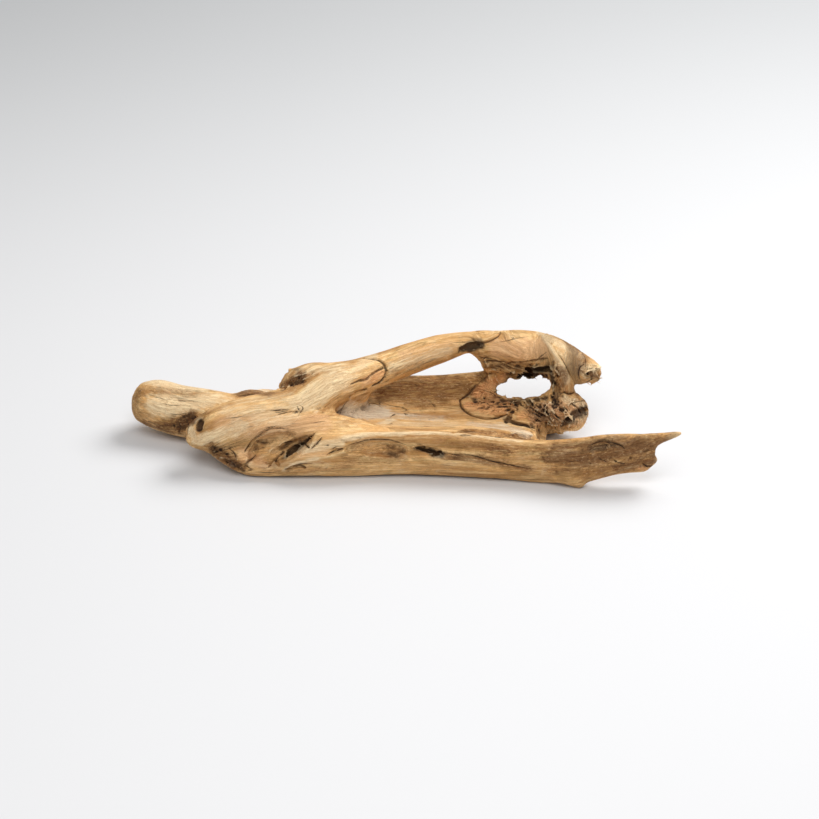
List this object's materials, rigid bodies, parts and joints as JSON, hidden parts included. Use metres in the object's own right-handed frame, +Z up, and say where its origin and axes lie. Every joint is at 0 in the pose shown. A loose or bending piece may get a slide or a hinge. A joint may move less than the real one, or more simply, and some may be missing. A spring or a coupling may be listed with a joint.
{
  "type": "piece of driftwood",
  "caption": "Weathered root of driftwood: an open trough with a thin tail, a blunt stub and a limb that arches over to a knotted head.",
  "frame": {"origin": "on the surface the wood lies on, under the middle of its bounding box", "axes": "+X along the length, from the blunt stub to the thin tail; +Y to the back, where the limb arches; +Z up"},
  "size_m": [0.595, 0.164, 0.1206],
  "materials": {
    "weathered_wood": "bare, sun-bleached and water-worn, dull"
  },
  "bodies": {
    "root": {"driftwood": "weathered_wood"}
  },
  "joints": []
}
